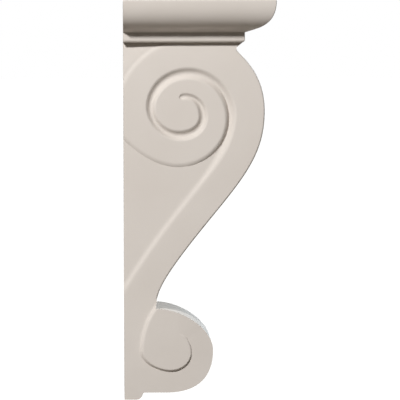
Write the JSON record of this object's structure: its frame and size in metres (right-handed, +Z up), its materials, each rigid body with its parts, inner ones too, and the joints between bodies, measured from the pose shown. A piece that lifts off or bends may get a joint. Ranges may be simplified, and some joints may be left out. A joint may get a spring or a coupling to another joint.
{
  "type": "scrolled wall corbel",
  "caption": "Scrolled wall corbel with a moulded cap, a carved spiral coil at the top of its S-curve, a smaller volute at the foot and a flat back that fixes to a wall.",
  "frame": {"origin": "middle of the flat wall face, where the corbel is fixed", "axes": "+Z up; +Y out of the flat back, into the wall, so the scroll projects towards -Y; X across the width"},
  "size_m": [0.1636, 0.1354, 0.3556],
  "materials": {
    "primer": "matte factory primer, warm light grey"
  },
  "bodies": {
    "root": {"corbel": "primer"}
  },
  "joints": []
}
